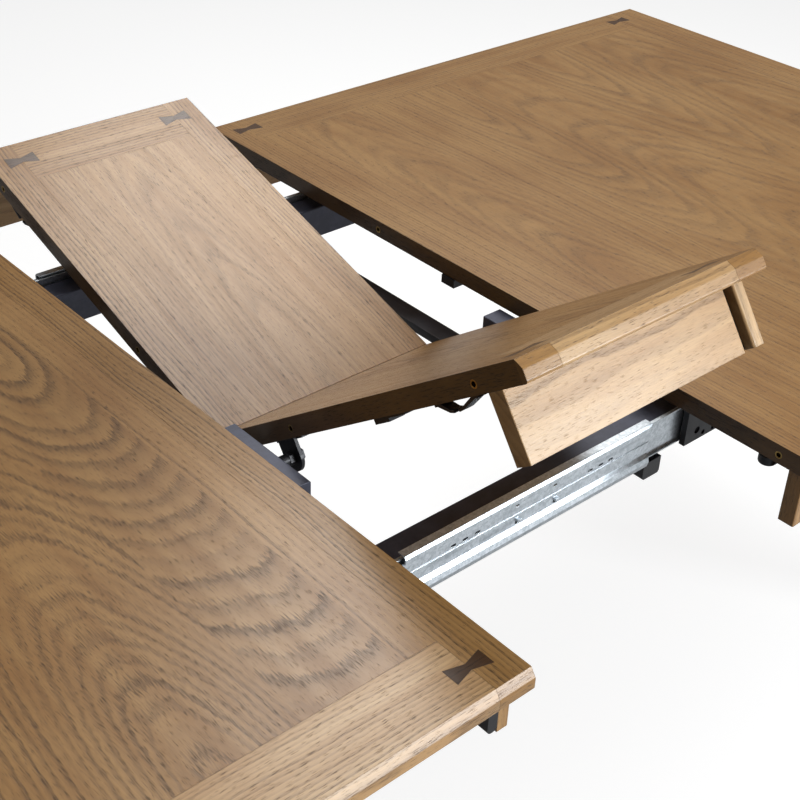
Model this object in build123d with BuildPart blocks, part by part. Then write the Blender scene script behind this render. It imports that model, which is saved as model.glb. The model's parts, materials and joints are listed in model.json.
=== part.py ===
"""Extendable dining table with a self-storing butterfly leaf, drawn out and with its leaf half raised.

The two table halves slide apart on ball-bearing slides. The steel mid frame between them carries
the leaf, whose two wings fold face to face on their hinge line while the near wing turns on two
pivot bolts. Origin: on the floor, under the middle of the open table. +X runs along the table
towards half B, +Y towards the far side, +Z up. Millimetres.
"""
from build123d import *
from math import cos, radians, sin
import os

# ---- driving dimensions -------------------------------------------------------------------
TABLE_HEIGHT = 762.0
TABLE_WIDTH = 1066.8
HALF_LENGTH = 914.4
OPEN_GAP = 419.4
TOP_THICKNESS = 22.0
LEAF_WIDTH = 311.0
NEAR_TILT = 36.1        # near wing's slope at rest, degrees
FAR_TILT = 16.9         # far wing's slope at rest, degrees

EDGE_INSET = 6.0        # bevel on the outer edges, measured on the top face
EDGE_DROP = 9.0         # the same bevel, measured down the edge
ARRIS = 3.0             # rounding under the bevel and at the bottom of the edge
GAP_BORDER = 40.7       # strip along the gap edge, grain across the table
SIDE_BORDER = 76.2      # strip along the sides, grain along the table
END_BORDER = 74.0
KEY_LENGTH = 40.6       # bow-tie key inlaid across a joint
KEY_WIDTH = 19.3
KEY_WAIST = 8.0
KEY_DEPTH = 6.0
KEY_INSET = 38.0        # key's centre line from the side edge

APRON_HEIGHT = 68.0
APRON_THICKNESS = 19.0
APRON_SETBACK = 34.4
LEG_TOP = 76.0
LEG_FOOT = 52.0
LEG_STRAIGHT = 150.0    # square block at the top of the leg, before the taper
GLIDE_HEIGHT = 4.0

PIN_RADIUS = 2.5
PIN_REACH = 7.0
BUSH_WALL = 1.4
PIN_PLAY = 0.3
PIN_DEPTH = 12.0        # below the top face
PIN_PLACES = (157.5, 467.0)

BEAM_WIDTH = 31.5
BEAM_HEIGHT = 45.0
BEAM_OUTER = 327.0      # outer face of the side beams from the table's middle
BEAM_REACH = 420.0
BEAM_TOP = TABLE_HEIGHT - 38.0
BEAM_BOTTOM = BEAM_TOP - BEAM_HEIGHT
BEAM_WALL = 2.0
SLIDE_TOP = TABLE_HEIGHT - 25.0
SLIDE_BOTTOM = TABLE_HEIGHT - 81.0
BATTEN_WIDTH = 28.0
BATTEN_HEIGHT = 11.0
BATTEN_OUTER = 199.0
BATTEN_REACH = 335.0
PAD_LENGTH = 36.0       # deeper end of each cross batten, under the side beam
PAD_HEIGHT = 22.0
BLOCK_INNER = 178.0
BLOCK_OUTER = 206.0
BLOCK_TOP = TABLE_HEIGHT - 22.5
BLOCK_Y = (-197.0, -71.0)
PIVOT_Y = -TABLE_WIDTH / 8
PIVOT_Z = TABLE_HEIGHT - 42.0
BRACKET_X = 150.0       # middle of the pivot bracket's ear
BRACKET_THICKNESS = 4.0

SLIDE_LEFT = -180.0     # visible centre channel of each slide
SLIDE_RIGHT = 168.0
SHEET = 1.5             # slide's sheet thickness
RUNNER_A_END = -50.0    # inner ends of the two runners
RUNNER_B_END = 77.0
PLATE_START = 228.0     # slide bracket under each half
PLATE_END = 336.0

HALF = TABLE_WIDTH / 2
GAP_EDGE = OPEN_GAP / 2
OUTER_END = GAP_EDGE + HALF_LENGTH
UNDERSIDE = TABLE_HEIGHT - TOP_THICKNESS
HINGE_RISE = 0.2        # hinge axis above the wings' top faces
EDGE_GAP = 0.3          # each wing's edge stands back from the hinge line
NEAR, FAR = -1, 1


def save(piece, name):
    piece.part.label = name
    export_step(piece.part, f"parts/{name}.step")


def slab(plane, x_range, y_range, z_range, mode=Mode.ADD):
    """Box between two corners, measured in the plane's own directions."""
    (x0, x1), (y0, y1), (z0, z1) = x_range, y_range, z_range
    with BuildSketch(plane.offset(z0)) as outline:
        with Locations(((x0 + x1) / 2, (y0 + y1) / 2)):
            Rectangle(x1 - x0, y1 - y0)
    extrude(outline.sketch, amount=z1 - z0, mode=mode)


def round_bar(plane, centre, radius, length, mode=Mode.ADD):
    with BuildSketch(plane) as outline:
        with Locations(centre):
            Circle(radius)
    extrude(outline.sketch, amount=length, mode=mode)


def span(a, b):
    return (min(a, b), max(a, b))


def mirrored(side, a, b):
    """Range from a to b on the +1 or -1 side of the middle."""
    return span(side * a, side * b)


# ---- tops: bevelled slabs cut into strips ---------------------------------------------------
def bevelled_slab(plane, x_range, y_range, outer):
    """Top slab in the plane z = -TOP_THICKNESS..0, with the bevel on the edges named in outer."""
    with BuildPart() as whole:
        slab(plane, x_range, y_range, (-TOP_THICKNESS, 0))
    local = {"x0": (0, x_range[0]), "x1": (0, x_range[1]), "y0": (1, y_range[0]), "y1": (1, y_range[1])}
    wanted = [local[name] for name in outer]

    def on_outer_edge(edge, depth):
        middle = plane.to_local_coords(edge.center())
        place = (middle.X, middle.Y)
        return abs(middle.Z - depth) < 0.1 and any(abs(place[axis] - at) < 0.1 for axis, at in wanted)

    with BuildPart() as shaped:
        add(whole.part)
        top = shaped.faces().sort_by(Axis(plane.origin, plane.z_dir))[-1]
        top_edges = [edge for edge in top.edges() if on_outer_edge(edge, 0)]
        chamfer(top_edges, length=EDGE_INSET, length2=EDGE_DROP, reference=top)
        arrises = [edge for edge in shaped.edges() if on_outer_edge(edge, -EDGE_DROP)]
        fillet(arrises, ARRIS)
        bottoms = [edge for edge in shaped.edges() if on_outer_edge(edge, -TOP_THICKNESS)]
        fillet(bottoms, ARRIS)
    return shaped.part


def cut_keys(plane, places, depth, mode):
    """Bow-tie keys, each lying along x with its middle at a place."""
    half_length, half_width, half_waist = KEY_LENGTH / 2, KEY_WIDTH / 2, KEY_WAIST / 2
    for x, y in places:
        with BuildSketch(plane.offset(-depth)) as outline:
            with BuildLine():
                Polyline(
                    (x - half_length, y - half_width),
                    (x, y - half_waist),
                    (x + half_length, y - half_width),
                    (x + half_length, y + half_width),
                    (x, y + half_waist),
                    (x - half_length, y + half_width),
                    close=True,
                )
            make_face()
        extrude(outline.sketch, amount=depth, mode=mode)


def drill_edge_fittings(plane, edge_x, sign, places, radius, depth):
    """Blind holes in an edge at x = edge_x, drilled towards -sign."""
    for y in places:
        hole_plane = Plane(
            origin=plane.from_local_coords(Vector(edge_x, y, -PIN_DEPTH)),
            x_dir=plane.y_dir,
            z_dir=plane.x_dir * -sign,
        )
        round_bar(hole_plane, (0, 0), radius, depth, Mode.SUBTRACT)


def strip(plane, whole, boxes, keys=(), fittings=()):
    """Part of a top slab that lies in the given boxes, with key pockets and edge holes cut."""
    with BuildPart() as piece:
        for x_range, y_range in boxes:
            slab(plane, x_range, y_range, (-TOP_THICKNESS - 1, 1))
        add(whole, mode=Mode.INTERSECT)
        if keys:
            cut_keys(plane, keys, KEY_DEPTH, Mode.SUBTRACT)
        for edge_x, sign, places, radius, depth in fittings:
            drill_edge_fittings(plane, edge_x, sign, places, radius, depth)
    return piece


def edge_fittings(plane, edge_x, sign, places, kind):
    """Pins that stand out of an edge, or the flush bushes that take them. sign points outward."""
    for y in places:
        axis_plane = Plane(
            origin=plane.from_local_coords(Vector(edge_x, y, -PIN_DEPTH)),
            x_dir=plane.y_dir,
            z_dir=plane.x_dir * sign,
        )
        if kind == "pin":
            with BuildSketch(axis_plane.offset(-EDGE_HOLE_DEPTH)) as shank:
                Circle(PIN_RADIUS)
            extrude(shank.sketch, amount=EDGE_HOLE_DEPTH + PIN_REACH - PIN_NOSE)
            with BuildSketch(axis_plane.offset(PIN_REACH - PIN_NOSE)) as nose:
                Circle(PIN_RADIUS)
            extrude(nose.sketch, amount=PIN_NOSE, taper=35)
        else:
            with BuildSketch(axis_plane.offset(-EDGE_HOLE_DEPTH)) as tube:
                Circle(BUSH_RADIUS)
                Circle(PIN_RADIUS + PIN_PLAY, mode=Mode.SUBTRACT)
            extrude(tube.sketch, amount=EDGE_HOLE_DEPTH)


os.makedirs("parts", exist_ok=True)

FLAT = Plane.XY.offset(TABLE_HEIGHT)
PIN_NOSE = 1.5
EDGE_HOLE_DEPTH = 16.0
BUSH_RADIUS = PIN_RADIUS + PIN_PLAY + BUSH_WALL
PIN_HOLE = (PIN_RADIUS, EDGE_HOLE_DEPTH)
BUSH_HOLE = (BUSH_RADIUS, EDGE_HOLE_DEPTH)
EDGE_PLACES = [side * place for side in (NEAR, FAR) for place in PIN_PLACES]


def build_half(letter, end):
    """One table half with its frame. end is -1 for half A and +1 for half B."""
    gap_x = end * GAP_EDGE
    outer_x = end * OUTER_END
    gap_strip_x = end * (GAP_EDGE + GAP_BORDER)
    end_strip_x = end * (OUTER_END - END_BORDER)
    inner_y = HALF - SIDE_BORDER
    outer_names = ["y0", "y1", "x0" if end < 0 else "x1"]
    whole = bevelled_slab(FLAT, span(gap_x, outer_x), (-HALF, HALF), outer_names)
    hole = PIN_HOLE if end < 0 else BUSH_HOLE
    fittings = [(gap_x, -end, EDGE_PLACES, *hole)]
    key_places = [
        (x, side * (HALF - KEY_INSET)) for x in (gap_strip_x, end_strip_x) for side in (NEAR, FAR)
    ]

    field = strip(FLAT, whole, [(span(gap_strip_x, end_strip_x), (-inner_y, inner_y))])
    save(field, f"field_panel_{letter}")
    gap_border = strip(
        FLAT, whole, [(span(gap_x, gap_strip_x), (-HALF, HALF))], keys=key_places, fittings=fittings
    )
    save(gap_border, f"gap_border_{letter}")
    end_border = strip(FLAT, whole, [(span(end_strip_x, outer_x), (-HALF, HALF))], keys=key_places)
    save(end_border, f"end_border_{letter}")
    side_boxes = [(span(gap_strip_x, end_strip_x), mirrored(side, inner_y, HALF)) for side in (NEAR, FAR)]
    side_borders = strip(FLAT, whole, side_boxes, keys=key_places)
    save(side_borders, f"side_borders_{letter}")
    with BuildPart() as keys:
        cut_keys(FLAT, key_places, KEY_DEPTH, Mode.ADD)
    save(keys, f"bow_tie_keys_{letter}")

    kind = "pin" if end < 0 else "bush"
    with BuildPart() as edge_parts:
        edge_fittings(FLAT, gap_x, -end, EDGE_PLACES, kind)
    save(edge_parts, f"edge_pins_{letter}" if end < 0 else f"edge_bushes_{letter}")

    build_frame(letter, end)
    build_slide_end(letter, end)


# ---- frame of one half: aprons, posts, legs -------------------------------------------------
APRON_OUTER = HALF - APRON_SETBACK
APRON_INNER = APRON_OUTER - APRON_THICKNESS
APRON_BOTTOM = UNDERSIDE - APRON_HEIGHT
POST_OUTER_A = 509.0
POST_WIDTH_A = 13.5
POST_HEIGHT_A = 61.0
POST_WIDTH_B = 21.0
POST_HEIGHT_B = 65.0
POST_START_B = GAP_EDGE + 3.0
TAB_WIDTH = 11.5
TAB_HEIGHT = 58.0
APRON_START_A = GAP_EDGE + 175.0
BRACE_HEIGHT = 50.0
BRACE_INNER = 120.0     # along each apron to the near and far corners of a brace
BRACE_OUTER = 148.0


def build_frame(letter, end):
    leg_outer_x = OUTER_END - APRON_SETBACK
    leg_inner_x = leg_outer_x - LEG_TOP
    leg_inner_y = APRON_OUTER - LEG_TOP
    heights = (APRON_BOTTOM, UNDERSIDE)
    if end < 0:
        post_x = mirrored(end, GAP_EDGE, GAP_EDGE + POST_WIDTH_A)
        post_outer = POST_OUTER_A
        post_bottom = UNDERSIDE - POST_HEIGHT_A
        apron_start = APRON_START_A
    else:
        post_x = (POST_START_B, POST_START_B + POST_WIDTH_B)
        post_outer = APRON_OUTER
        post_bottom = UNDERSIDE - POST_HEIGHT_B
        apron_start = POST_START_B + POST_WIDTH_B

    with BuildPart() as posts:
        for side in (NEAR, FAR):
            across = mirrored(side, post_outer - APRON_THICKNESS, post_outer)
            slab(Plane.XY, post_x, across, (post_bottom, UNDERSIDE))
        fillet(posts.edges().filter_by(Axis.Z).group_by(Axis.X)[0 if end > 0 else -1], 1.5)
    save(posts, f"gap_posts_{letter}")

    if end < 0:
        tab_x = (post_x[0] - TAB_WIDTH, post_x[0])
        with BuildPart() as tabs:
            for side in (NEAR, FAR):
                across = mirrored(side, post_outer - APRON_THICKNESS, post_outer)
                slab(Plane.XY, tab_x, across, (UNDERSIDE - TAB_HEIGHT, UNDERSIDE))
            fillet(tabs.edges().filter_by(Axis.Y).group_by(Axis.Z)[0], 5.5)
        save(tabs, f"stop_tabs_{letter}")

    with BuildPart() as side_aprons:
        for side in (NEAR, FAR):
            across = mirrored(side, APRON_INNER, APRON_OUTER)
            slab(Plane.XY, mirrored(end, apron_start, leg_inner_x), across, heights)
    save(side_aprons, f"side_aprons_{letter}")

    with BuildPart() as end_apron:
        slab(
            Plane.XY,
            mirrored(end, leg_outer_x - APRON_THICKNESS, leg_outer_x),
            (-leg_inner_y, leg_inner_y),
            heights,
        )
    save(end_apron, f"end_apron_{letter}")

    leg_x = end * (leg_inner_x + LEG_TOP / 2)
    leg_places = [(leg_x, side * (leg_inner_y + LEG_TOP / 2)) for side in (NEAR, FAR)]
    taper_top = UNDERSIDE - LEG_STRAIGHT
    bolt_height = APRON_BOTTOM + APRON_HEIGHT / 2
    with BuildPart() as legs:
        for x, y in leg_places:
            with BuildSketch(Plane.XY.offset(taper_top)) as block:
                with Locations((x, y)):
                    Rectangle(LEG_TOP, LEG_TOP)
                chamfer(block.vertices(), 2.0)
            extrude(block.sketch, amount=LEG_STRAIGHT)
            with BuildSketch(Plane.XY.offset(GLIDE_HEIGHT)) as foot:
                with Locations((x, y)):
                    Rectangle(LEG_FOOT, LEG_FOOT)
                chamfer(foot.vertices(), 2.0)
            loft([foot.sketch.face(), block.sketch.face()])
    save(legs, f"legs_{letter}")

    with BuildPart() as glides:
        for x, y in leg_places:
            round_bar(Plane.XY, (x, y), 14.0, GLIDE_HEIGHT)
        chamfer(glides.edges().group_by(Axis.Z)[0], 1.0)
    save(glides, f"leg_glides_{letter}")

    brace_top = UNDERSIDE - 6
    inner_x = leg_outer_x - APRON_THICKNESS
    with BuildPart() as braces:
        for side in (NEAR, FAR):
            with BuildSketch(Plane.XY.offset(brace_top - BRACE_HEIGHT)) as brace:
                with BuildLine():
                    Polyline(
                        (end * (inner_x - BRACE_INNER), side * APRON_INNER),
                        (end * inner_x, side * (APRON_INNER - BRACE_INNER)),
                        (end * inner_x, side * (APRON_INNER - BRACE_OUTER)),
                        (end * (inner_x - BRACE_OUTER), side * APRON_INNER),
                        close=True,
                    )
                make_face()
            extrude(brace.sketch, amount=BRACE_HEIGHT)
            axis_plane = bolt_plane(end, side, leg_inner_x, leg_inner_y, bolt_height)
            round_bar(axis_plane, (0, 0), 4.5, 60, Mode.SUBTRACT)
    save(braces, f"corner_braces_{letter}")

    with BuildPart() as bolts:
        for side in (NEAR, FAR):
            axis_plane = bolt_plane(end, side, leg_inner_x, leg_inner_y, bolt_height)
            round_bar(axis_plane, (0, 0), 4.0, 46)
            with BuildSketch(axis_plane.offset(34)) as nut:
                RegularPolygon(7.5, 6)
            extrude(nut.sketch, amount=7)
    save(bolts, f"leg_bolts_{letter}")


def bolt_plane(end, side, leg_x, leg_y, height):
    """Bolt axis from the leg's inner corner towards the middle of the half."""
    return Plane(
        origin=(end * leg_x, side * leg_y, height),
        x_dir=(0, 0, 1),
        z_dir=(-end, -side, 0),
    )


# ---- slides: runners and brackets on the halves ---------------------------------------------
def slide_sketch(side, outline_points, inner_points, radius, x):
    """C-shaped sheet profile across the slide; points are (distance outward, height)."""
    with BuildSketch(Plane.YZ.offset(x)) as profile:
        with BuildLine():
            outer = FilletPolyline(*[(side * y, z) for y, z in outline_points], radius=radius)
            inner = FilletPolyline(*[(side * y, z) for y, z in inner_points], radius=radius)
            Line(outer @ 0, inner @ 0)
            Line(outer @ 1, inner @ 1)
        make_face()
    return profile.sketch


CHANNEL_WEB = BEAM_OUTER + 10.0
RUNNER_WEB = BEAM_OUTER + 3.0
RUNNER_TOP = SLIDE_TOP - 4.9
RUNNER_BOTTOM = SLIDE_BOTTOM + 4.9
RUNNER_LIP = CHANNEL_WEB - 2.3
PLATE_HOLES = ((14, -14, 2.6), (20, -41.5, 4.5), (32, -49, 3.0), (49.5, -50, 3.0))


def build_slide_end(letter, end):
    runner_end = RUNNER_A_END if end < 0 else RUNNER_B_END
    outline = [
        (RUNNER_LIP, RUNNER_TOP),
        (RUNNER_WEB, RUNNER_TOP),
        (RUNNER_WEB, RUNNER_BOTTOM),
        (RUNNER_LIP, RUNNER_BOTTOM),
    ]
    inner = [
        (RUNNER_LIP, RUNNER_TOP - SHEET),
        (RUNNER_WEB + SHEET, RUNNER_TOP - SHEET),
        (RUNNER_WEB + SHEET, RUNNER_BOTTOM + SHEET),
        (RUNNER_LIP, RUNNER_BOTTOM + SHEET),
    ]
    x_range = span(runner_end, end * PLATE_END)
    with BuildPart() as runners:
        for side in (NEAR, FAR):
            profile = slide_sketch(side, outline, inner, 1.2, x_range[0])
            extrude(profile, dir=(1, 0, 0), amount=x_range[1] - x_range[0])
    save(runners, f"slide_runners_{letter}")

    plate_outer = BEAM_OUTER + 15.0
    plate_bottom = SLIDE_BOTTOM + 1.0
    with BuildPart() as brackets:
        for side in (NEAR, FAR):
            along = mirrored(end, PLATE_START, PLATE_END)
            slab(Plane.XY, along, mirrored(side, RUNNER_LIP, plate_outer), (plate_bottom, UNDERSIDE))
            slab(
                Plane.XY,
                mirrored(end, PLATE_START + 3, PLATE_END),
                mirrored(side, RUNNER_LIP, plate_outer - 2.5),
                (RUNNER_TOP, UNDERSIDE - 3),
                Mode.SUBTRACT,
            )
            slab(Plane.XY, along, mirrored(side, plate_outer, plate_outer + 30), (UNDERSIDE - 3, UNDERSIDE))
            for x, z, radius in PLATE_HOLES:
                hole_plane = Plane.XZ.offset(-side * (plate_outer - 2.5))
                with BuildSketch(hole_plane) as hole:
                    with Locations((end * (PLATE_START + x), SLIDE_TOP + z)):
                        Circle(radius)
                extrude(hole.sketch, amount=-side * 2.5, mode=Mode.SUBTRACT)
    save(brackets, f"slide_brackets_{letter}")


build_half("a", -1)
build_half("b", 1)

# ---- catches and lock levers under half B ---------------------------------------------------
LEVER_PIVOT_X = GAP_EDGE + 34.0
LEVER_Y = 449.0
LEVER_TOP = UNDERSIDE - 3.0
LEVER_THICKNESS = 11.0
LEVER_PLATE = 12.0      # half the size of the plate that carries a lever's pin
CATCH_Y = (12.0, 34.0)

with BuildPart() as edge_catches:
    slab(Plane.XY, (GAP_EDGE - 2, GAP_EDGE + 25), CATCH_Y, (UNDERSIDE - 11, UNDERSIDE))
    plate_x = (LEVER_PIVOT_X - LEVER_PLATE, LEVER_PIVOT_X + LEVER_PLATE)
    for side in (NEAR, FAR):
        plate_y = (side * LEVER_Y - LEVER_PLATE, side * LEVER_Y + LEVER_PLATE)
        slab(Plane.XY, plate_x, plate_y, (LEVER_TOP + 0.3, UNDERSIDE))
        pin_plane = Plane.XY.offset(LEVER_TOP - LEVER_THICKNESS - 0.4)
        round_bar(pin_plane, (LEVER_PIVOT_X, side * LEVER_Y), 4.0, LEVER_THICKNESS + 1.2)
        round_bar(pin_plane.offset(-2.5), (LEVER_PIVOT_X, side * LEVER_Y), 7.5, 2.5)
save(edge_catches, "edge_catches")

for side, side_name in ((NEAR, "near"), (FAR, "far")):
    with BuildPart() as lever:
        with BuildSketch(Plane.XY.offset(LEVER_TOP - LEVER_THICKNESS)) as blade:
            with Locations((LEVER_PIVOT_X - 11, side * LEVER_Y)):
                SlotCenterToCenter(22, 20)
        extrude(blade.sketch, amount=LEVER_THICKNESS)
        fillet(lever.edges().group_by(Axis.Z)[0], 2.5)
        pin_plane = Plane.XY.offset(LEVER_TOP - LEVER_THICKNESS)
        round_bar(pin_plane, (LEVER_PIVOT_X, side * LEVER_Y), 4.05, LEVER_THICKNESS, Mode.SUBTRACT)
    save(lever, f"lock_lever_{side_name}")

# ---- mid frame ------------------------------------------------------------------------------
with BuildPart() as side_beams:
    for side in (NEAR, FAR):
        across = mirrored(side, BEAM_OUTER - BEAM_WIDTH, BEAM_OUTER)
        slab(Plane.XY, (-BEAM_REACH, BEAM_REACH), across, (BEAM_BOTTOM, BEAM_TOP))
    fillet(side_beams.edges().filter_by(Axis.X), 2.0)
    inside = (BEAM_BOTTOM + BEAM_WALL, BEAM_TOP - BEAM_WALL)
    for side in (NEAR, FAR):
        across = mirrored(side, BEAM_OUTER - BEAM_WIDTH + BEAM_WALL, BEAM_OUTER - BEAM_WALL)
        slab(Plane.XY, (-BEAM_REACH, BEAM_REACH), across, inside, Mode.SUBTRACT)
save(side_beams, "side_beams")

with BuildPart() as cross_battens:
    for end in (-1, 1):
        along = mirrored(end, BATTEN_OUTER - BATTEN_WIDTH, BATTEN_OUTER)
        slab(Plane.XY, along, (-BATTEN_REACH, BATTEN_REACH), (BEAM_BOTTOM - BATTEN_HEIGHT, BEAM_BOTTOM))
        for side in (NEAR, FAR):
            across = mirrored(side, BATTEN_REACH - PAD_LENGTH, BATTEN_REACH)
            slab(Plane.XY, along, across, (BEAM_BOTTOM - PAD_HEIGHT, BEAM_BOTTOM))
    fillet(cross_battens.edges().filter_by(Axis.Y).group_by(Axis.Z)[0], 4.0)
save(cross_battens, "cross_battens")

with BuildPart() as bearing_blocks:
    for end in (-1, 1):
        along = mirrored(end, BLOCK_INNER, BLOCK_OUTER)
        slab(Plane.XY, along, BLOCK_Y, (BEAM_BOTTOM, BLOCK_TOP))
    fillet(bearing_blocks.edges().filter_by(Axis.Y).group_by(Axis.Z)[-1], 1.5)
    for end in (-1, 1):
        bore_plane = Plane(origin=(end * BLOCK_INNER, PIVOT_Y, PIVOT_Z), x_dir=(0, 1, 0), z_dir=(end, 0, 0))
        round_bar(bore_plane, (0, 0), 4.0, 20, Mode.SUBTRACT)
save(bearing_blocks, "bearing_blocks")

with BuildPart() as pivot_bolts:
    for end in (-1, 1):
        head = (end * (BLOCK_INNER + 20), PIVOT_Y, PIVOT_Z)
        axis_plane = Plane(origin=head, x_dir=(0, 1, 0), z_dir=(-end, 0, 0))
        round_bar(axis_plane, (0, 0), 4.0, BLOCK_INNER + 20 - BRACKET_X + 9)
        for start in (BRACKET_X + BRACKET_THICKNESS / 2 + 1, BRACKET_X - BRACKET_THICKNESS / 2 - 7):
            with BuildSketch(Plane.YZ.offset(end * start)) as nut:
                with Locations((PIVOT_Y, PIVOT_Z)):
                    RegularPolygon(8.0, 6)
            extrude(nut.sketch, amount=end * 6)
        collar_plane = Plane.YZ.offset(end * (BRACKET_X + BRACKET_THICKNESS / 2 + 7))
        with BuildSketch(collar_plane) as collar:
            with Locations((PIVOT_Y, PIVOT_Z)):
                Circle(6.5)
        extrude(collar.sketch, amount=end * (BLOCK_INNER - BRACKET_X - BRACKET_THICKNESS / 2 - 7))
save(pivot_bolts, "pivot_bolts")

LIP = BEAM_OUTER + 2.0
CHANNEL_OUTLINE = [
    (LIP, SLIDE_TOP),
    (CHANNEL_WEB + 1, SLIDE_TOP),
    (CHANNEL_WEB + 3.5, SLIDE_TOP - 3),
    (CHANNEL_WEB + 3.5, SLIDE_TOP - 9),
    (CHANNEL_WEB, SLIDE_TOP - 11),
    (CHANNEL_WEB, SLIDE_BOTTOM + 17),
    (CHANNEL_WEB + 3.5, SLIDE_BOTTOM + 13),
    (CHANNEL_WEB + 5, SLIDE_BOTTOM + 7),
    (CHANNEL_WEB + 3, SLIDE_BOTTOM),
    (LIP, SLIDE_BOTTOM),
]
CHANNEL_INSIDE = [
    (LIP, SLIDE_TOP - SHEET),
    (CHANNEL_WEB + 0.4, SLIDE_TOP - SHEET),
    (CHANNEL_WEB + 2, SLIDE_TOP - 3.6),
    (CHANNEL_WEB + 2, SLIDE_TOP - 8.4),
    (CHANNEL_WEB - SHEET, SLIDE_TOP - 10.4),
    (CHANNEL_WEB - SHEET, SLIDE_BOTTOM + 16.3),
    (CHANNEL_WEB + 2.1, SLIDE_BOTTOM + 12.2),
    (CHANNEL_WEB + 3.4, SLIDE_BOTTOM + 7),
    (CHANNEL_WEB + 1.9, SLIDE_BOTTOM + SHEET),
    (LIP, SLIDE_BOTTOM + SHEET),
]
CHANNEL_CORNER = 0.7
RIDGE_DROP = 24.5       # pressed line along the web, below the slide's top
RIDGE = 1.2
STAMPED_TABS = [(x, -20.5) for x in (-116, -100, -84, 76.5, 92.5, 107.5)]
STAMPED_HOLES = [(-30, -13.5), (23.5, -13.5)]
BENT_TABS = (-29, 25)   # lugs bent outward from the web, each over its own hole
BENT_TAB_DROP = 31.0
MOUNT_RANGE = (4.0, 23.0)   # between the two runners' inner ends, where the channel meets the beam
MOUNT_HALF_HEIGHT = 9.0
SLIDE_MIDDLE = (SLIDE_TOP + SLIDE_BOTTOM) / 2

with BuildPart() as slide_channels:
    for side in (NEAR, FAR):
        profile = slide_sketch(side, CHANNEL_OUTLINE, CHANNEL_INSIDE, CHANNEL_CORNER, SLIDE_LEFT)
        extrude(profile, dir=(1, 0, 0), amount=SLIDE_RIGHT - SLIDE_LEFT)
        ridge_y = mirrored(side, CHANNEL_WEB - 0.5, CHANNEL_WEB + 0.8)
        ridge_z = (SLIDE_TOP - RIDGE_DROP - RIDGE, SLIDE_TOP - RIDGE_DROP)
        slab(Plane.XY, (SLIDE_LEFT, SLIDE_RIGHT), ridge_y, ridge_z)
        web_plane = Plane.XZ.offset(-side * (CHANNEL_WEB - SHEET))
        with BuildSketch(web_plane) as stampings:
            with Locations(*[(x, SLIDE_TOP + z) for x, z in STAMPED_TABS]):
                SlotCenterToCenter(4, 3)
            with Locations(*[(x, SLIDE_TOP + z) for x, z in STAMPED_HOLES]):
                Rectangle(5, 4)
            with Locations(*[(x, SLIDE_TOP - BENT_TAB_DROP - 4) for x in BENT_TABS]):
                Rectangle(5, 5)
        extrude(stampings.sketch, amount=-side * SHEET, mode=Mode.SUBTRACT)
        for x in BENT_TABS:
            lug_bottom = SLIDE_TOP - BENT_TAB_DROP - 1.5
            across = mirrored(side, CHANNEL_WEB - 0.5, CHANNEL_WEB + 4)
            slab(Plane.XY, (x - 2.5, x + 2.5), across, (lug_bottom, lug_bottom + 3))
save(slide_channels, "slide_channels")

with BuildPart() as channel_mounts:
    for side in (NEAR, FAR):
        heights = (SLIDE_MIDDLE - MOUNT_HALF_HEIGHT, SLIDE_MIDDLE + MOUNT_HALF_HEIGHT)
        slab(Plane.XY, MOUNT_RANGE, mirrored(side, BEAM_OUTER, CHANNEL_WEB - SHEET), heights)
save(channel_mounts, "channel_mounts")

BALL_RADIUS = 1.6
BALL_OUT = (RUNNER_WEB + RUNNER_LIP) / 2
BALL_HEIGHTS = (SLIDE_TOP - SHEET - 1.7, SLIDE_BOTTOM + SHEET + 1.7)
BALL_ROWS = [x for start in (-132, 88) for x in range(start, start + 73, 18)]
with BuildPart() as slide_balls:
    for side in (NEAR, FAR):
        for height in BALL_HEIGHTS:
            with Locations(*[(x, side * BALL_OUT, height) for x in BALL_ROWS]):
                Sphere(BALL_RADIUS)
save(slide_balls, "slide_balls")

# ---- butterfly leaf -------------------------------------------------------------------------
# Each wing is drawn in its own plane: origin on the hinge line at the top face, x along the
# table, y across it and z out of the top face.
near_slope = radians(NEAR_TILT)
far_slope = radians(FAR_TILT)
to_hinge_y = -PIVOT_Y
to_hinge_z = TABLE_HEIGHT + HINGE_RISE - PIVOT_Z
HINGE_Y = PIVOT_Y + to_hinge_y * cos(near_slope) + to_hinge_z * sin(near_slope)
HINGE_Z = PIVOT_Z - to_hinge_y * sin(near_slope) + to_hinge_z * cos(near_slope)


def wing_plane(tilt):
    """Plane of a wing's top face; tilt is its turn about +X."""
    normal = Vector(0, -sin(tilt), cos(tilt))
    origin = Vector(0, HINGE_Y, HINGE_Z) - normal * HINGE_RISE
    return Plane(origin=origin, x_dir=(1, 0, 0), z_dir=normal)


NEAR_PLANE = wing_plane(-near_slope)
FAR_PLANE = wing_plane(far_slope)
HALF_LEAF = LEAF_WIDTH / 2
STRIP_X = HALF_LEAF - GAP_BORDER
LEAF_APRON_OUTER = HALF - 33.4
LEAF_APRON_HEIGHT = 66.5
LEAF_POST = 14.0
LEAF_SPACER = 14.5
CUP_RADIUS = 7.0
CUP_DEPTH = 18.0
CUP_PLACES = (-95.0, 0.0, 95.0)


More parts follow.
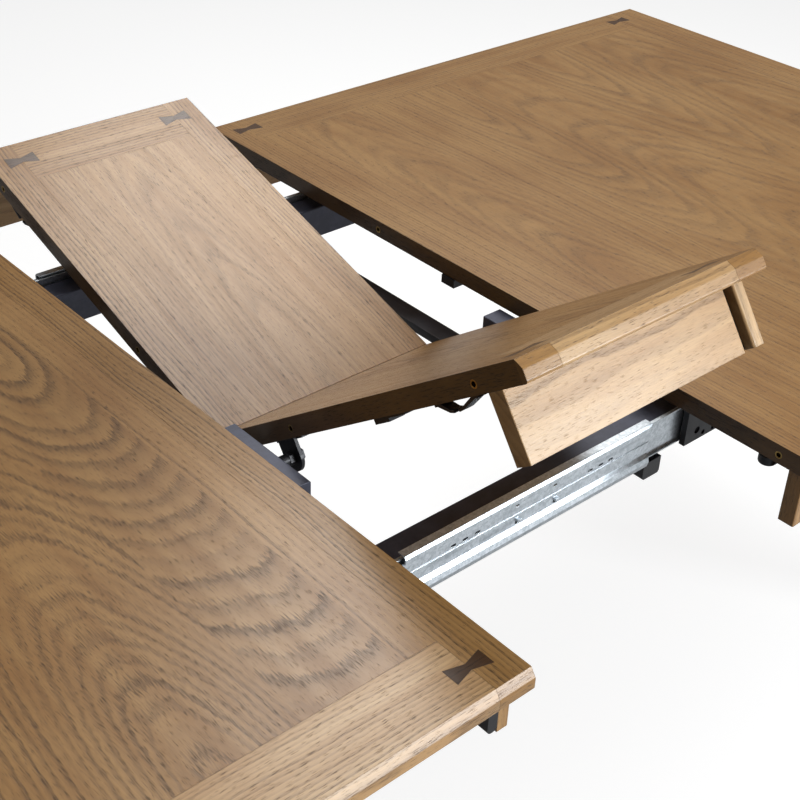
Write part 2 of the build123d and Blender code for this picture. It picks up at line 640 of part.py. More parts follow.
def build_wing(name, plane, side):
    """One wing of the leaf. side is -1 for the near wing and +1 for the far wing."""
    full_y = mirrored(side, EDGE_GAP, HALF)
    border_y = side * (HALF - SIDE_BORDER)
    outer_name = "y0" if side < 0 else "y1"
    whole = bevelled_slab(plane, (-HALF_LEAF, HALF_LEAF), full_y, [outer_name])
    keys = [(x, side * (HALF - KEY_INSET)) for x in (-STRIP_X, STRIP_X)]
    places = [side * place for place in PIN_PLACES]
    holes = [(-HALF_LEAF, -1, places, *BUSH_HOLE), (HALF_LEAF, 1, places, *PIN_HOLE)]
    cup_plane = Plane(
        origin=plane.from_local_coords(Vector(0, side * EDGE_GAP, -TOP_THICKNESS / 2)),
        x_dir=plane.x_dir,
        z_dir=plane.y_dir * side,
    )

    field = strip(plane, whole, [((-STRIP_X, STRIP_X), span(side * EDGE_GAP, border_y))])
    with BuildPart() as drilled_field:
        add(field.part)
        for x in CUP_PLACES:
            round_bar(cup_plane, (x, 0), CUP_RADIUS, CUP_DEPTH, Mode.SUBTRACT)
    save(drilled_field, f"leaf_field_{name}")
    strip_boxes = [(span(sign * STRIP_X, sign * HALF_LEAF), full_y) for sign in (-1, 1)]
    save(strip(plane, whole, strip_boxes, keys=keys, fittings=holes), f"leaf_strips_{name}")
    border_boxes = [((-STRIP_X, STRIP_X), span(border_y, side * HALF))]
    save(strip(plane, whole, border_boxes, keys=keys), f"leaf_border_{name}")
    with BuildPart() as bow_ties:
        cut_keys(plane, keys, KEY_DEPTH, Mode.ADD)
    save(bow_ties, f"leaf_keys_{name}")

    apron_y = mirrored(side, LEAF_APRON_OUTER - APRON_THICKNESS, LEAF_APRON_OUTER)
    apron_z = (-TOP_THICKNESS - LEAF_APRON_HEIGHT, -TOP_THICKNESS)
    board_end = HALF_LEAF - LEAF_POST - LEAF_SPACER
    with BuildPart() as apron:
        slab(plane, (-HALF_LEAF, board_end), apron_y, apron_z)
        slab(plane, (HALF_LEAF - LEAF_POST, HALF_LEAF), apron_y, apron_z)
        uprights = apron.edges().filter_by(Axis(plane.origin, plane.z_dir))
        fillet(uprights.group_by(Axis.X)[-2], 3.0)
        fillet(apron.edges().filter_by(Axis(plane.origin, plane.z_dir)).group_by(Axis.X)[0], 1.0)
    save(apron, f"leaf_apron_{name}")
    spacer_y = mirrored(side, LEAF_APRON_OUTER - APRON_THICKNESS + 1, LEAF_APRON_OUTER - 12)
    with BuildPart() as spacer:
        slab(plane, (board_end, HALF_LEAF - LEAF_POST), spacer_y, (apron_z[0] + 2, apron_z[1]))
    save(spacer, f"leaf_spacer_{name}")

    with BuildPart() as cups:
        for x in CUP_PLACES:
            round_bar(cup_plane, (x, 0), CUP_RADIUS, CUP_DEPTH)
            with BuildSketch(cup_plane) as slot:
                with Locations((x, 0)):
                    Rectangle(4, 10)
            extrude(slot.sketch, amount=12, mode=Mode.SUBTRACT)
    save(cups, f"hinge_cups_{name}")

    with BuildPart() as fittings:
        edge_fittings(plane, -HALF_LEAF, -1, places, "bush")
        edge_fittings(plane, HALF_LEAF, 1, places, "pin")
    save(fittings, f"leaf_fittings_{name}")
    build_hooks(name, plane, side)


HOOK_X = (-HALF_LEAF + 3, -HALF_LEAF + 15)
PAD_X = (-HALF_LEAF + 3, -HALF_LEAF + 21)
HOOK_PAD = (302.0, 353.0)
# the far wing swings its wedge past the lip of the slide, so that wedge is shorter
HOOK_WEDGE_ENDS = {NEAR: 326.0, FAR: 318.0}
HOOK_WEDGE_THICKNESS = 6.0
HOOK_PLATE_THICKNESS = 2.4
HOOK_SHEET = 2.6
HOOK_DROP = 11.0
HOOK_PLACES = ((404.0, 424.0), (458.0, 431.0))  # root and tip of each hook


def build_hooks(name, plane, side):
    """Latch plate and the two springy hooks that close round a lock lever."""
    under = -TOP_THICKNESS
    profile_plane = Plane(
        origin=plane.from_local_coords(Vector(HOOK_X[0], 0, 0)), x_dir=plane.y_dir, z_dir=plane.x_dir
    )
    with BuildPart() as hooks:
        wedge_y = mirrored(side, HOOK_PAD[0], HOOK_WEDGE_ENDS[side])
        slab(plane, PAD_X, wedge_y, (under - HOOK_WEDGE_THICKNESS, under))
        slab(plane, PAD_X, mirrored(side, *HOOK_PAD), (under - HOOK_PLATE_THICKNESS, under))
        for root, tip in HOOK_PLACES:
            lean = 1 if tip > root else -1
            with BuildSketch(profile_plane) as hook:
                with BuildLine():
                    Polyline(
                        (side * (root - lean * 4), under),
                        (side * (root - lean * 4), under - HOOK_SHEET),
                        (side * root, under - HOOK_SHEET),
                        (side * (tip - lean * 6), under - HOOK_DROP + 1),
                        (side * tip, under - HOOK_DROP),
                        (side * tip, under - HOOK_DROP + HOOK_SHEET),
                        (side * (tip - lean * 5), under - HOOK_DROP + HOOK_SHEET + 1),
                        (side * (root + lean * 4), under),
                        close=True,
                    )
                make_face()
            extrude(hook.sketch, dir=tuple(plane.x_dir), amount=HOOK_X[1] - HOOK_X[0])
    save(hooks, f"leaf_hooks_{name}")


build_wing("near", NEAR_PLANE, NEAR)
build_wing("far", FAR_PLANE, FAR)

# Ears under the near wing that turn on the pivot bolts.
with BuildPart() as pivot_brackets:
    pivot_local = NEAR_PLANE.to_local_coords(Vector(0, PIVOT_Y, PIVOT_Z))
    for end in (-1, 1):
        ear_x = span(end * (BRACKET_X - BRACKET_THICKNESS / 2), end * (BRACKET_X + BRACKET_THICKNESS / 2))
        ear_plane = Plane(
            origin=NEAR_PLANE.from_local_coords(Vector(ear_x[0], pivot_local.Y, pivot_local.Z)),
            x_dir=NEAR_PLANE.y_dir,
            z_dir=NEAR_PLANE.x_dir,
        )
        rise = -TOP_THICKNESS - pivot_local.Z
        with BuildSketch(ear_plane) as ear:
            Circle(16)
            with Locations((0, rise / 2)):
                Rectangle(32, rise)
            Circle(4.05, mode=Mode.SUBTRACT)
        extrude(ear.sketch, amount=BRACKET_THICKNESS)
        foot_x = mirrored(end, BRACKET_X - 28, BRACKET_X - BRACKET_THICKNESS / 2)
        foot_y = (pivot_local.Y - 26, pivot_local.Y + 26)
        slab(NEAR_PLANE, foot_x, foot_y, (-TOP_THICKNESS - 3, -TOP_THICKNESS))
    wing_y = (pivot_local.Y - 40, pivot_local.Y + 40)
    slab(NEAR_PLANE, (-HALF_LEAF, HALF_LEAF), wing_y, (-TOP_THICKNESS, 0), Mode.SUBTRACT)
save(pivot_brackets, "pivot_brackets")
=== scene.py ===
"""Looks for the butterfly-leaf dining table: wood, steel and fittings around the fixed CAD frame."""

import json
import math

import bpy
from mathutils import Matrix, Vector


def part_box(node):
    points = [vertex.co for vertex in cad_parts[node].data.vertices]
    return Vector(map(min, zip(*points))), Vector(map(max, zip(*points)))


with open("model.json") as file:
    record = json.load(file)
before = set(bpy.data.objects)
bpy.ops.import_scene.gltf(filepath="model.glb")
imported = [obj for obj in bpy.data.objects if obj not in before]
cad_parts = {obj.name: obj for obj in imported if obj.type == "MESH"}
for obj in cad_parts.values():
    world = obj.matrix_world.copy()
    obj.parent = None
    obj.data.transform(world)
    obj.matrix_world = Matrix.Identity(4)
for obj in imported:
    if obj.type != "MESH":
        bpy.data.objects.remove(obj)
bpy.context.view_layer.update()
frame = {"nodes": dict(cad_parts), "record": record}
nodes = frame["nodes"]

# ---- places on the table, in metres ---------------------------------------------------------
HALF_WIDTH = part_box("gap_border_a")[1].y
TOP_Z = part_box("field_panel_a")[1].z
HINGE_Y = -0.0007405
HINGE_Z = 0.6755278
NEAR_TILT = math.radians(-36.1)
FAR_TILT = math.radians(16.9)
POST_START_X = 0.1415       # upright post at the end of each leaf apron


# ---- node graphs ----------------------------------------------------------------------------
CONSTANT_SOCKETS = {
    "metallic": "Metallic",
    "coat_weight": "Coat Weight",
    "coat_roughness": "Coat Roughness",
    "specular_level": "Specular IOR Level",
}


class Graph:
    """A material's node tree with short calls for the nodes used here."""

    def __init__(self, name):
        self.material = bpy.data.materials.new(name)
        self.material.use_nodes = True
        self.tree = self.material.node_tree
        self.shader = self.tree.nodes["Principled BSDF"]

    def node(self, kind, **settings):
        made = self.tree.nodes.new(kind)
        for key, value in settings.items():
            setattr(made, key, value)
        return made

    def feed(self, socket, value):
        if isinstance(value, bpy.types.NodeSocket):
            self.tree.links.new(value, socket)
        elif value is not None:
            socket.default_value = value

    def math(self, operation, a, b=None, c=None, clamp=False):
        made = self.node("ShaderNodeMath", operation=operation, use_clamp=clamp)
        for socket, value in zip(made.inputs, (a, b, c)):
            self.feed(socket, value)
        return made.outputs[0]

    def add(self, a, b):
        return self.math("ADD", a, b)

    def times(self, a, b):
        return self.math("MULTIPLY", a, b)

    def vector(self, operation, a, b=None):
        made = self.node("ShaderNodeVectorMath", operation=operation)
        self.feed(made.inputs[0], a)
        self.feed(made.inputs[1], b)
        return made.outputs[1] if operation == "DOT_PRODUCT" else made.outputs[0]

    def combine(self, x, y, z):
        made = self.node("ShaderNodeCombineXYZ")
        for socket, value in zip(made.inputs, (x, y, z)):
            self.feed(socket, value)
        return made.outputs[0]

    def split(self, vector):
        made = self.node("ShaderNodeSeparateXYZ")
        self.feed(made.inputs[0], vector)
        return made.outputs[0], made.outputs[1], made.outputs[2]

    def mix(self, amount, a, b, blend="MIX"):
        made = self.node("ShaderNodeMix", data_type="RGBA", blend_type=blend)
        self.feed(made.inputs[0], amount)
        for socket, value in ((made.inputs[6], a), (made.inputs[7], b)):
            self.feed(socket, value if isinstance(value, bpy.types.NodeSocket) else (*value, 1.0))
        return made.outputs[2]

    def mix_value(self, amount, a, b):
        made = self.node("ShaderNodeMix", data_type="FLOAT")
        for socket, value in zip((made.inputs[0], made.inputs[2], made.inputs[3]), (amount, a, b)):
            self.feed(socket, value)
        return made.outputs[0]

    def ramp(self, value, stops):
        """Curve through (position, level) stops."""
        made = self.node("ShaderNodeValToRGB")
        elements = made.color_ramp.elements
        elements.remove(elements[1])
        elements[0].position = stops[0][0]
        for position, level in stops:
            element = elements[0] if position == stops[0][0] else elements.new(position)
            element.color = (level, level, level, 1.0)
        self.feed(made.inputs[0], value)
        return made.outputs[0]

    def between(self, value, low, high, to_low=0.0, to_high=1.0, smooth=True):
        made = self.node("ShaderNodeMapRange", interpolation_type="SMOOTHSTEP" if smooth else "LINEAR")
        for socket, number in zip(made.inputs, (value, low, high, to_low, to_high)):
            self.feed(socket, number)
        return made.outputs[0]

    def noise(self, vector, scale=1.0, detail=2.0, roughness=0.5, distortion=0.0):
        made = self.node("ShaderNodeTexNoise")
        self.feed(made.inputs["Vector"], vector)
        made.inputs["Scale"].default_value = scale
        made.inputs["Detail"].default_value = detail
        made.inputs["Roughness"].default_value = roughness
        made.inputs["Distortion"].default_value = distortion
        return made.outputs[0]

    def steps(self, value, starts, levels):
        """Piecewise constant: levels[0] before starts[1], levels[1] from there, and so on."""
        total = levels[0]
        for start, before, after in zip(starts[1:], levels, levels[1:]):
            if after != before:
                past = self.math("GREATER_THAN", value, start)
                total = self.math("MULTIPLY_ADD", past, after - before, total)
        return total

    def place(self, tilt=None):
        """Object coordinates, turned into a wing's own plane when tilt is given."""
        point = self.node("ShaderNodeTexCoord").outputs["Object"]
        if tilt is None:
            return point
        moved = self.vector("SUBTRACT", point, (0.0, HINGE_Y, HINGE_Z))
        turned = self.node("ShaderNodeVectorRotate", rotation_type="X_AXIS")
        self.feed(turned.inputs["Vector"], moved)
        turned.inputs["Angle"].default_value = -tilt
        return turned.outputs[0]

    def edge_mask(self, radius):
        """1 near a solid's edges and 0 on its flats, with the rounded normal."""
        bevel = self.node("ShaderNodeBevel", samples=4)
        bevel.inputs["Radius"].default_value = radius
        flat = self.node("ShaderNodeNewGeometry").outputs["True Normal"]
        likeness = self.vector("DOT_PRODUCT", bevel.outputs[0], flat)
        return self.between(likeness, 0.995, 0.80, 0.0, 1.0), bevel.outputs[0]

    def finish(self, colour, roughness, height=None, depth=0.0002, strength=1.0, normal=None, **constants):
        self.feed(self.shader.inputs["Base Color"], colour)
        self.feed(self.shader.inputs["Roughness"], roughness)
        if height is not None:
            bump = self.node("ShaderNodeBump")
            bump.inputs["Strength"].default_value = strength
            bump.inputs["Distance"].default_value = depth
            self.feed(bump.inputs["Height"], height)
            self.feed(bump.inputs["Normal"], normal)
            normal = bump.outputs[0]
        self.feed(self.shader.inputs["Normal"], normal)
        for key, value in constants.items():
            self.shader.inputs[CONSTANT_SOCKETS[key]].default_value = value
        return self.material


def srgb(red, green, blue):
    """Linear colour from 8-bit sRGB levels."""
    def linear(level):
        level = level / 255
        return level / 12.92 if level <= 0.04045 else ((level + 0.055) / 1.055) ** 2.4

    return (linear(red), linear(green), linear(blue))


# ---- wood -----------------------------------------------------------------------------------
# A board is (start across the grain, ring centre, ring depth, ring slope, ring spacing, contrast, tone).
# The rings are cylinders about a log axis that leans by the slope, so a board cut through them shows
# arches where it lies near the axis and straight lines where it lies far from it.
OAK_LIGHT = srgb(170, 130, 80)
OAK_WARM = srgb(148, 106, 58)
OAK_RING = srgb(86, 60, 36)
OAK_PORE = srgb(54, 37, 24)
FIBRE_PULL = 0.050          # how far a fibre can shift the figure along the grain
BEVEL = 0.0062              # the bevelled rim takes the grain of the edge it runs along


def wood(
    name,
    boards,
    grain="y",
    tilt=None,
    light=OAK_LIGHT,
    warm=OAK_WARM,
    ring=OAK_RING,
    pore=OAK_PORE,
    pores=0.6,
    roughness=0.36,
    coat=0.25,
    edge_shade=0.35,
    gap_face_shade=0.0,
    post=False,
    swirl=0.012,
    rim=False,
):
    g = Graph(name)
    x, y, z = g.split(g.place(tilt))
    if tilt is None:
        z = g.math("SUBTRACT", z, TOP_Z)
    if post:
        upright = g.math("GREATER_THAN", x, POST_START_X)
        along, across, depth = g.mix_value(upright, x, z), g.mix_value(upright, z, x), y
    else:
        along, across, depth = {"y": (y, x, z), "x": (x, y, z), "z": (z, x, y)}[grain]
    if rim:
        at_rim = g.math("GREATER_THAN", g.math("ABSOLUTE", y), HALF_WIDTH - BEVEL)
        along, across = g.mix_value(at_rim, y, x), g.mix_value(at_rim, x, y)
    starts = [board[0] for board in boards]
    centre, pith, slope, spacing, contrast, tone = (
        g.steps(across, starts, [board[i] for board in boards]) for i in range(1, 7)
    )

    def drawn(across_scale, along_scale, detail):
        """Noise drawn out along the grain, by its scales across and along it."""
        point = g.combine(
            g.times(across, across_scale), g.times(along, along_scale), g.times(depth, across_scale)
        )
        return g.noise(point, detail=detail)

    # slow swirl of the whole figure, then the jagged ends that the fibres give each ring
    slow = drawn(5.0, 2.6, 2.0)
    medium = drawn(34.0, 9.0, 2.0)
    fibre = drawn(900.0, 55.0, 3.0)
    shifted = g.math("MULTIPLY_ADD", g.math("SUBTRACT", fibre, 0.5), FIBRE_PULL, along)
    drift = g.math("MULTIPLY_ADD", slow, 2 * swirl, -swirl)
    off_centre = g.add(g.math("SUBTRACT", across, centre), drift)
    lean = g.add(g.math("MULTIPLY_ADD", shifted, slope, pith), depth)
    lean = g.math("MULTIPLY_ADD", g.math("SUBTRACT", medium, 0.5), 0.010, lean)
    radius = g.math("SQRT", g.add(g.times(off_centre, off_centre), g.times(lean, lean)))
    phase = g.math("DIVIDE", radius, spacing)
    phase = g.math("MULTIPLY_ADD", g.math("SUBTRACT", fibre, 0.5), 0.30, phase)
    phase = g.math("MULTIPLY_ADD", g.math("SUBTRACT", slow, 0.5), 1.6, phase)
    turn = g.math("FRACT", phase)
    number = g.math("FLOOR", phase)
    odd = g.node("ShaderNodeTexWhiteNoise", noise_dimensions="1D")
    g.feed(odd.inputs["W"], number)
    darkness = g.math("MULTIPLY_ADD", odd.outputs["Value"], 0.75, 0.25)
    band = g.ramp(turn, ((0.0, 0.15), (0.07, 1.0), (0.26, 0.92), (0.55, 0.28), (0.86, 0.0), (1.0, 0.15)))
    band = g.times(g.times(band, darkness), contrast)

    # open pores: short dark dashes along the grain, thick in the rings
    dash = drawn(1400.0, 95.0, 1.0)
    dash = g.math("MULTIPLY_ADD", band, 0.22, dash)
    open_pore = g.between(dash, 0.63, 0.74)
    shade = drawn(60.0, 3.0, 3.0)
    blotch = drawn(9.0, 5.0, 2.0)

    base = g.mix(g.between(g.math("MULTIPLY_ADD", blotch, 0.5, g.times(shade, 0.5)), 0.35, 0.68), light, warm)
    colour = g.mix(g.times(band, 0.92), base, ring)
    colour = g.mix(g.times(open_pore, pores), colour, pore)
    bright = g.math("MULTIPLY_ADD", g.math("SUBTRACT", fibre, 0.5), 0.42, tone)
    edge, rounded = g.edge_mask(0.0012)
    bright = g.times(bright, g.math("MULTIPLY_ADD", edge, -edge_shade, 1.0))
    # painted shade: faces that point along X, such as the gap faces, are darkened
    if gap_face_shade:
        facing = g.split(g.node("ShaderNodeNewGeometry").outputs["True Normal"])[0]
        side = g.between(g.math("ABSOLUTE", facing), 0.85, 0.98)
        bright = g.times(bright, g.math("MULTIPLY_ADD", side, -gap_face_shade, 1.0))
    colour = g.mix(1.0, colour, g.combine(bright, bright, bright), "MULTIPLY")

    rough = g.math("MULTIPLY_ADD", open_pore, 0.22, roughness)
    rough = g.math("MULTIPLY_ADD", g.math("SUBTRACT", shade, 0.5), 0.16, rough)
    height = g.math("MULTIPLY_ADD", open_pore, -0.8, g.times(fibre, 0.35))
    height = g.math("MULTIPLY_ADD", band, -0.15, height)
    return g.finish(
        colour, rough, height, depth=0.00022, strength=0.55, normal=rounded,
        coat_weight=coat, coat_roughness=0.24, specular_level=0.38,
    )


def straight(spacing=0.0055, contrast=0.5, tone=1.0, centre=-0.9):
    """One board with straight grain."""
    return [(-9.0, centre, 0.05, 0.02, spacing, contrast, tone)]


FIELD_A = [
    (-9.0, -0.985, 0.060, -0.16, 0.0085, 0.58, 0.97),
    (-0.905, -0.800, 0.180, 0.20, 0.0075, 0.52, 1.0),
    (-0.700, -0.470, 0.120, 0.22, 0.0072, 0.64, 1.0),
    (-0.388, -0.326, 0.060, -0.34, 0.0120, 0.66, 0.98),
    (-0.286, -0.560, 0.050, 0.03, 0.0075, 0.50, 1.04),
]
FIELD_B = [
    (-9.0, -0.100, 0.050, 0.02, 0.0060, 0.40, 1.0),
    (0.300, 0.357, 0.045, 0.12, 0.0075, 0.34, 1.0),
    (0.420, 0.190, 0.060, 0.03, 0.0070, 0.40, 0.98),
    (0.500, 0.557, 0.060, -0.14, 0.0085, 0.36, 0.97),
    (0.610, 0.662, 0.110, 0.16, 0.0085, 0.36, 0.98),
    (0.735, 0.805, 0.090, -0.13, 0.0090, 0.36, 0.96),
    (0.880, 0.947, 0.080, 0.14, 0.0085, 0.34, 0.95),
]
FIELD_FAR = [
    (-9.0, -0.330, 0.030, 0.05, 0.0055, 0.45, 0.98),
    (-0.062, 0.008, 0.022, 0.09, 0.0070, 0.32, 1.0),
    (0.062, 0.300, 0.030, -0.04, 0.0065, 0.25, 1.02),
]
FIELD_NEAR = [
    (-9.0, -0.330, 0.030, 0.05, 0.0065, 0.50, 0.98),
    (-0.040, 0.030, 0.030, -0.10, 0.0075, 0.55, 1.0),
    (0.085, 0.360, 0.030, -0.04, 0.0065, 0.40, 1.02),
]
PALE = srgb(196, 160, 114)
PALE_WARM = srgb(178, 138, 92)


def paint(material, *names):
    for name in names:
        slots = nodes[name].data.materials
        slots.clear()
        slots.append(material)
        for polygon in nodes[name].data.polygons:
            polygon.material_index = 0


paint(wood("oak_field_a", FIELD_A), "field_panel_a")
paint(wood("oak_field_b", FIELD_B), "field_panel_b")
paint(
    wood("oak_cross_a", straight(0.0052, 0.75), gap_face_shade=0.72, warm=srgb(152, 110, 56), rim=True),
    "gap_border_a",
)
paint(wood("oak_cross_b", straight(0.0052, 0.6, centre=1.9), gap_face_shade=0.74, rim=True), "gap_border_b")
paint(wood("oak_end", straight(0.0060, 0.6, centre=1.7), rim=True), "end_border_a", "end_border_b")
paint(
    wood("oak_side_a", straight(0.0050, 0.60, 1.06, centre=-1.2), "x", light=PALE, warm=PALE_WARM),
    "side_borders_a",
)
paint(wood("oak_side_b", straight(0.0052, 0.50, 0.98, centre=-1.2), "x"), "side_borders_b")
paint(wood("oak_leaf_far", FIELD_FAR, tilt=FAR_TILT), "leaf_field_far")
paint(wood("oak_leaf_near", FIELD_NEAR, tilt=NEAR_TILT), "leaf_field_near")
for side, tilt, contrast in (("far", FAR_TILT, 0.7), ("near", NEAR_TILT, 0.55)):
    strip = wood(
        f"oak_leaf_strip_{side}", straight(0.0056, contrast), tilt=tilt, gap_face_shade=0.7, rim=True
    )
    paint(strip, f"leaf_strips_{side}")
paint(wood("oak_leaf_border_far", straight(0.0052, 0.5), "x", tilt=FAR_TILT), "leaf_border_far")
paint(
    wood("oak_leaf_border_near", straight(0.0052, 0.5), "x", tilt=NEAR_TILT, light=PALE, warm=PALE_WARM),
    "leaf_border_near",
)
APRON_BOARD = [(-9.0, -0.30, 0.040, 0.02, 0.0085, 0.45, 1.05)]
for side, tilt in (("near", NEAR_TILT), ("far", FAR_TILT)):
    apron = wood(
        f"oak_leaf_apron_{side}", APRON_BOARD, "x", tilt=tilt, light=PALE, warm=PALE_WARM,
        pores=0.35, gap_face_shade=0.45, post=True,
    )
    paint(apron, f"leaf_apron_{side}")
paint(
    wood("oak_apron_x", straight(0.0080, 0.6), "x"),
    "side_aprons_a", "side_aprons_b", "corner_braces_a", "corner_braces_b",
)
paint(wood("oak_apron_y", straight(0.0080, 0.6, centre=0.3)), "end_apron_a", "end_apron_b")
paint(
    wood("oak_upright", straight(0.0075, 0.6, centre=2.4), "z", gap_face_shade=0.3),
    "legs_a", "legs_b", "gap_posts_a", "gap_posts_b",
)
WALNUT = dict(
    light=srgb(86, 58, 34), warm=srgb(66, 43, 25), ring=srgb(40, 27, 18), pore=srgb(26, 18, 12), pores=0.5,
)
paint(wood("walnut", straight(0.0040, 0.6), "x", **WALNUT), "bow_tie_keys_a", "bow_tie_keys_b")
paint(wood("walnut_far", straight(0.0040, 0.6), "x", tilt=FAR_TILT, **WALNUT), "leaf_keys_far")
paint(wood("walnut_near", straight(0.0040, 0.6), "x", tilt=NEAR_TILT, **WALNUT), "leaf_keys_near")


# ---- painted and bare metal, plastic ----------------------------------------------------------
def zinc(name):
    g = Graph(name)
    point = g.place()
    x, y, z = g.split(point)
    spangle = g.node("ShaderNodeTexVoronoi", feature="F1")
    g.feed(spangle.inputs["Vector"], point)
    spangle.inputs["Scale"].default_value = 260.0
    speckle = g.noise(point, 420.0, detail=3.0, roughness=0.7)
    rolled = g.noise(g.combine(g.times(x, 3.0), g.times(y, 500.0), g.times(z, 500.0)), detail=2.0)
    smear = g.noise(g.combine(g.times(x, 9.0), g.times(y, 9.0), g.times(z, 60.0)), detail=3.0)
    facet = g.split(spangle.outputs["Color"])[0]
    tone = g.between(g.math("MULTIPLY_ADD", facet, 0.25, g.times(speckle, 0.75)), 0.3, 0.7)
    colour = g.mix(tone, srgb(190, 198, 204), srgb(224, 230, 236))
    colour = g.mix(g.between(smear, 0.52, 0.75, 0.0, 0.5), colour, srgb(120, 128, 136))
    edge, rounded = g.edge_mask(0.0006)
    # painted highlight: the colour lightens to near-white along the edges
    colour = g.mix(g.times(edge, 0.5), colour, srgb(236, 240, 244))
    rough = g.math("MULTIPLY_ADD", g.math("SUBTRACT", speckle, 0.5), 0.20, 0.34)
    height = g.add(g.times(rolled, 0.6), g.times(speckle, 0.4))
    return g.finish(colour, rough, height, depth=0.00006, normal=rounded, metallic=0.9)


def painted_steel(name, base, worn, scuff, scuffs, roughness, metallic=0.35):
    """Dark finish, blotchy, rubbed along its edges and lightly scuffed."""
    g = Graph(name)
    point = g.place()
    x, y, z = g.split(point)
    blotch = g.noise(point, 38.0, detail=5.0, roughness=0.65)
    grit = g.noise(point, 900.0, detail=2.0)
    stretched = g.combine(g.times(x, 22.0), g.times(y, 420.0), g.times(z, 420.0))
    scratch = g.noise(stretched, detail=3.0, roughness=0.7)
    colour = g.mix(g.between(blotch, 0.35, 0.70), base, tuple(level * 1.6 for level in base))
    rub = g.times(g.between(scratch, 0.60, 0.74), g.between(blotch, 0.42, 0.66))
    colour = g.mix(g.times(rub, scuffs), colour, scuff)
    edge, rounded = g.edge_mask(0.0008)
    colour = g.mix(g.times(edge, g.between(blotch, 0.3, 0.6, 0.15, 0.75)), colour, worn)
    rough = g.math("MULTIPLY_ADD", g.math("SUBTRACT", blotch, 0.5), 0.5, roughness)
    height = g.add(g.times(grit, 0.5), g.times(blotch, 0.5))
    return g.finish(colour, rough, height, depth=0.00012, strength=0.6, normal=rounded, metallic=metallic)


def bare_metal(name, base, tint, roughness):
    """Turned metal with fine tool lines and a little tarnish."""
    g = Graph(name)
    point = g.place()
    tarnish = g.noise(point, 90.0, detail=4.0, roughness=0.6)
    lines = g.noise(point, 1800.0, detail=2.0)
    colour = g.mix(g.between(tarnish, 0.4, 0.75), base, tint)
    edge, rounded = g.edge_mask(0.0004)
    # painted highlight: the colour lightens along the edges
    colour = g.mix(g.times(edge, 0.4), colour, tuple(min(1.0, level * 1.35) for level in base))
    rough = g.math("MULTIPLY_ADD", g.math("SUBTRACT", tarnish, 0.5), 0.3, roughness)
    return g.finish(colour, rough, lines, depth=0.00003, normal=rounded, metallic=1.0)


def plastic(name, base, roughness):
    """Moulded plastic with a fine spark-eroded skin."""
    g = Graph(name)
    point = g.place()
    skin = g.noise(point, 1500.0, detail=2.0, roughness=0.6)
    cloud = g.noise(point, 30.0, detail=3.0)
    colour = g.mix(g.between(cloud, 0.3, 0.75), base, tuple(level * 1.6 + 0.004 for level in base))
    edge, rounded = g.edge_mask(0.0006)
    # painted highlight: the colour lightens along the edges
    colour = g.mix(g.times(edge, 0.35), colour, tuple(level * 2.4 + 0.02 for level in base))
    rough = g.math("MULTIPLY_ADD", g.math("SUBTRACT", skin, 0.5), 0.25, roughness)
    return g.finish(colour, rough, skin, depth=0.00005, normal=rounded)


def black_wood(name, base, worn):
    """Black satin paint over wood, with the grain just showing through."""
    g = Graph(name)
    point = g.place()
    x, y, z = g.split(point)
    grain = g.noise(g.combine(g.times(x, 500.0), g.times(y, 18.0), g.times(z, 500.0)), detail=3.0)
    cloud = g.noise(point, 26.0, detail=4.0)
    colour = g.mix(g.between(cloud, 0.35, 0.7), base, tuple(level * 1.8 for level in base))
    colour = g.mix(g.between(grain, 0.55, 0.75, 0.0, 0.5), colour, worn)
    edge, rounded = g.edge_mask(0.001)
    colour = g.mix(g.times(edge, 0.5), colour, worn)
    rough = g.math("MULTIPLY_ADD", g.math("SUBTRACT", cloud, 0.5), 0.4, 0.42)
    return g.finish(colour, rough, grain, depth=0.0002, strength=0.5, normal=rounded)


zinc_steel = zinc("zinc_steel")
blue_steel = painted_steel("blue_steel", srgb(64, 66, 79), srgb(128, 132, 146), srgb(20, 20, 24), 0.8, 0.42)
black_steel = painted_steel("black_steel", srgb(30, 30, 34), srgb(96, 96, 104), srgb(96, 96, 104), 0.4, 0.40)
bright_steel = bare_metal("bright_steel", srgb(196, 198, 202), srgb(132, 130, 128), 0.28)
brass = bare_metal("brass", srgb(186, 156, 96), srgb(128, 98, 54), 0.30)
black_plastic = plastic("black_plastic", srgb(28, 27, 28), 0.5)
glide_plastic = plastic("glide_plastic", srgb(70, 66, 60), 0.55)
painted_batten = black_wood("black_wood", srgb(34, 33, 38), srgb(84, 82, 86))

SLOT_FINISH = {
    "zinc_steel": zinc_steel,
    "blue_steel": blue_steel,
    "black_steel": black_steel,
    "bright_steel": bright_steel,
    "brass_fitting": brass,
    "black_plastic": black_plastic,
    "glide_plastic": glide_plastic,
    "black_wood": painted_batten,
}
for entry in frame["record"]["subparts"]:
    finish = SLOT_FINISH.get(entry["material_slot"])
    if finish:
        paint(finish, entry["node"])

# ---- floor, light, camera -------------------------------------------------------------------
FLOOR_HALF = 14.0
floor_mesh = bpy.data.meshes.new("floor")
floor_mesh.from_pydata(
    [(x * FLOOR_HALF, y * FLOOR_HALF, 0) for x, y in ((-1, -1), (1, -1), (1, 1), (-1, 1))],
    [],
    [(0, 1, 2, 3)],
)
floor = bpy.data.objects.new("floor", floor_mesh)
bpy.context.scene.collection.objects.link(floor)
stage = Graph("studio_floor")
tree = stage.tree
tree.nodes.remove(stage.shader)
diffuse = stage.node("ShaderNodeBsdfDiffuse")
diffuse.inputs["Color"].default_value = (0.5, 0.5, 0.5, 1.0)
glow = stage.node("ShaderNodeEmission")
seen = stage.node("ShaderNodeLightPath").outputs["Is Camera Ray"]
stage.feed(glow.inputs["Strength"], stage.times(seen, 0.68))
both = stage.node("ShaderNodeAddShader")
tree.links.new(diffuse.outputs[0], both.inputs[0])
tree.links.new(glow.outputs[0], both.inputs[1])
tree.links.new(both.outputs[0], tree.nodes["Material Output"].inputs["Surface"])
floor_mesh.materials.append(stage.material)

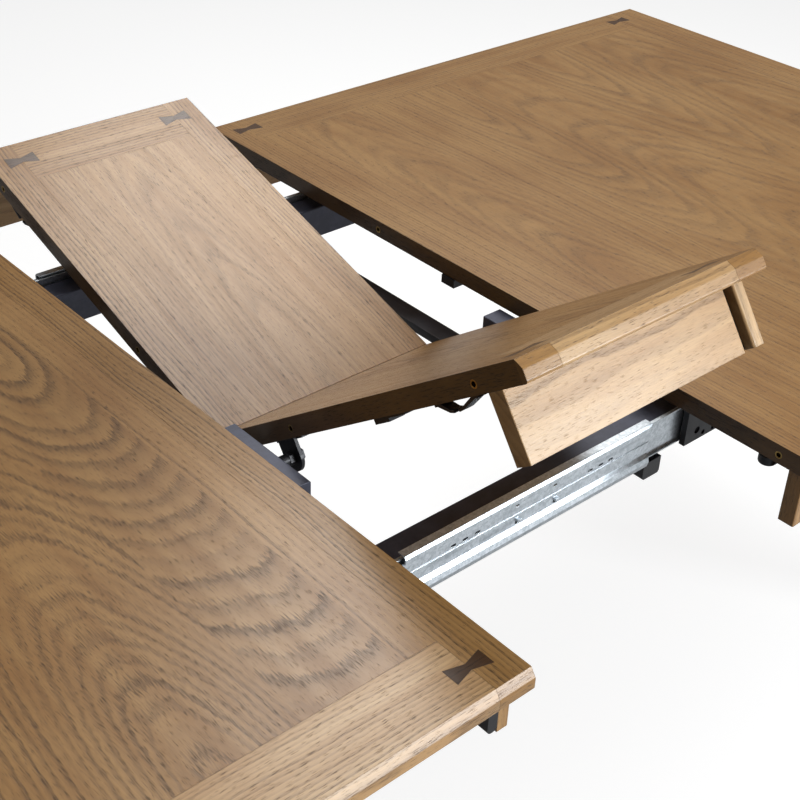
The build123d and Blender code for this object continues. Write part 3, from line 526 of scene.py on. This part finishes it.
world = bpy.data.worlds.new("studio")
bpy.context.scene.world = world
world.use_nodes = True
sky = world.node_tree
background = sky.nodes["Background"]
light_path = sky.nodes.new("ShaderNodeLightPath")
strength = sky.nodes.new("ShaderNodeMapRange")
strength.inputs["To Min"].default_value = 0.22
strength.inputs["To Max"].default_value = 1.0
sky.links.new(light_path.outputs["Is Camera Ray"], strength.inputs["Value"])
sky.links.new(strength.outputs[0], background.inputs["Strength"])
background.inputs["Color"].default_value = (1.0, 1.0, 1.0, 1.0)

TARGET = Vector((0.1, -0.1, 0.75))


def softbox(name, azimuth, elevation, distance, width, height, power, colour):
    """Rectangular light that looks at the table. Azimuth is counted from +X towards +Y."""
    lamp = bpy.data.lights.new(name, "AREA")
    lamp.shape = "RECTANGLE"
    lamp.size, lamp.size_y = width, height
    lamp.energy = power
    lamp.color = colour
    holder = bpy.data.objects.new(name, lamp)
    bpy.context.scene.collection.objects.link(holder)
    a, e = math.radians(azimuth), math.radians(elevation)
    away = Vector((math.cos(a) * math.cos(e), math.sin(a) * math.cos(e), math.sin(e)))
    holder.location = TARGET + away * distance
    holder.rotation_mode = "QUATERNION"
    holder.rotation_quaternion = away.to_track_quat("Z", "Y")
    holder.visible_camera = False


# azimuth and elevation in degrees, distance and size in metres, power in watts, colour
softbox("window_side", -64, 14, 3.2, 1.8, 0.9, 105, (0.93, 0.97, 1.0))
softbox("back_box", 47, 52, 3.2, 1.2, 1.4, 44, (1.0, 0.99, 0.97))
softbox("overhead", -80, 78, 3.0, 2.4, 2.4, 20, (1.0, 0.98, 0.95))

camera_data = bpy.data.cameras.new("camera")
camera_data.sensor_width = 36.0
camera_data.lens = 63.65
camera_data.clip_start, camera_data.clip_end = 0.05, 60.0
camera = bpy.data.objects.new("camera", camera_data)
bpy.context.scene.collection.objects.link(camera)
camera.matrix_world = Matrix(
    (
        (0.7527, 0.3440, -0.5614, -0.8617),
        (-0.6574, 0.4388, -0.6126, -1.0669),
        (0.0356, 0.8302, 0.5564, 1.5781),
        (0.0, 0.0, 0.0, 1.0),
    )
)
bpy.context.scene.camera = camera
bpy.context.scene.view_settings.view_transform = "Standard"
